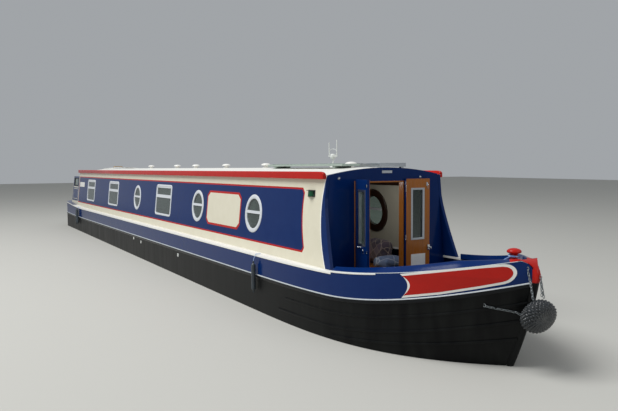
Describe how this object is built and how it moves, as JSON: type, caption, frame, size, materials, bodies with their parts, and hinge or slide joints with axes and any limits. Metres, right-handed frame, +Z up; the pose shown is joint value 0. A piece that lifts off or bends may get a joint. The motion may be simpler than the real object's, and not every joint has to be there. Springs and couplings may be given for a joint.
{
  "type": "narrowboat",
  "caption": "Steel canal narrowboat with a long low cabin, portholes, windows, open bow well, hinged doors, sliding hatch, tiller, rudder and propeller.",
  "frame": {"origin": "underside of the baseplate, below the middle of the boat's overall length", "axes": "+X towards the bow, +Y to port, +Z up"},
  "size_m": [17.4891, 2.17, 2.6456],
  "materials": {
    "hull_black": "satin black bitumen blacking",
    "navy": "gloss coach enamel",
    "cream": "gloss coach enamel",
    "white": "semi-gloss paint",
    "red": "gloss coach enamel",
    "oak": "varnished",
    "glass": "clear",
    "steel": "bright",
    "rubber": "matt moulded",
    "brass": "polished",
    "cast": "painted",
    "rope": "three-strand polyester",
    "fabric": "woven cushion cover",
    "pv": "toughened solar glass"
  },
  "bodies": {
    "hull": {"hull_side_port": "navy", "hull_side_starboard": "navy", "stem_post": "red", "baseplate": "hull_black", "swim": "hull_black", "counter_side": "hull_black", "uxter_plate": "hull_black", "aft_deck": "navy", "rudder_tube": "hull_black", "cant_port": "navy", "cant_starboard": "navy", "foredeck": "navy", "well_deck": "navy", "locker_bulkhead": "navy", "cabin_side_port": "cream", "cabin_side_starboard": "cream", "roof": "white", "solar_panel": "pv", "gang_plank": "navy", "tv_aerial": "white", "front_bulkhead": "navy", "companion_bulkhead": "navy", "rear_frame": "navy", "cabin_floor": "oak", "handrail_port": "red", "handrail_starboard": "red", "guard_port": "hull_black", "guard_starboard": "hull_black", "stern_tube": "hull_black", "engine": "cast", "mooring_stud": "red", "bow_fender": "rubber", "side_fender_fore": "rubber", "side_fenders_aft": "rubber", "bow_rope": "rope", "saloon_seat": "oak", "cushion_back": "fabric", "cushion_seat": "fabric", "porthole_fore_port": "glass", "porthole_mid_port": "glass", "window_fore_port": "glass", "porthole_aft_port": "glass", "window_mid_port": "glass", "window_aft_port": "glass", "porthole_fore_starboard": "glass", "porthole_mid_starboard": "glass", "window_fore_starboard": "glass", "porthole_aft_starboard": "glass", "window_mid_starboard": "glass", "window_aft_starboard": "glass"},
    "front_door_port": {"front_door_port": "oak"},
    "front_door_starboard": {"front_door_starboard": "navy"},
    "rear_door_port": {"rear_door_port": "navy"},
    "rear_door_starboard": {"rear_door_starboard": "navy"},
    "companion_door_port": {"companion_door_port": "navy"},
    "companion_door_starboard": {"companion_door_starboard": "navy"},
    "hatch": {"sliding_hatch": "white"},
    "propeller": {"propeller": "brass"},
    "rudder": {"rudder": "hull_black", "tiller": "brass"}
  },
  "joints": [
    {"name": "front_door_port_hinge", "type": "hinge", "parent": "hull", "child": "front_door_port", "pos_m": [6.503, 0.2565, 1.45], "axis": [0, 0, 1], "range_deg": [-180, 0]},
    {"name": "front_door_starboard_hinge", "type": "hinge", "parent": "hull", "child": "front_door_starboard", "pos_m": [6.503, -0.436, 1.45], "axis": [0, 0, 1], "range_deg": [-77, 103]},
    {"name": "rear_door_port_hinge", "type": "hinge", "parent": "hull", "child": "rear_door_port", "pos_m": [-6.944, 0.8397, 1.7], "axis": [0, -0.1002, 0.995], "range_deg": [0, 90]},
    {"name": "rear_door_starboard_hinge", "type": "hinge", "parent": "hull", "child": "rear_door_starboard", "pos_m": [-6.944, -0.8397, 1.7], "axis": [0, 0.1002, 0.995], "range_deg": [-90, 0]},
    {"name": "companion_door_port_hinge", "type": "hinge", "parent": "hull", "child": "companion_door_port", "pos_m": [-5.874, 0.338, 1.7], "axis": [0, 0, 1], "range_deg": [-100, 0]},
    {"name": "companion_door_starboard_hinge", "type": "hinge", "parent": "hull", "child": "companion_door_starboard", "pos_m": [-5.874, -0.338, 1.7], "axis": [0, 0, 1], "range_deg": [0, 100]},
    {"name": "hatch_slide", "type": "slide", "parent": "hull", "child": "hatch", "axis": [1, 0, 0], "range_m": [0, 0.83]},
    {"name": "propeller_spin", "type": "hinge", "parent": "hull", "child": "propeller", "pos_m": [-7.69, 0, 0.27], "axis": [1, 0, 0], "continuous": true},
    {"name": "rudder_turn", "type": "hinge", "parent": "hull", "child": "rudder", "pos_m": [-8.39, 0, 0.6], "axis": [0, 0, 1], "range_deg": [-35, 35]}
  ]
}
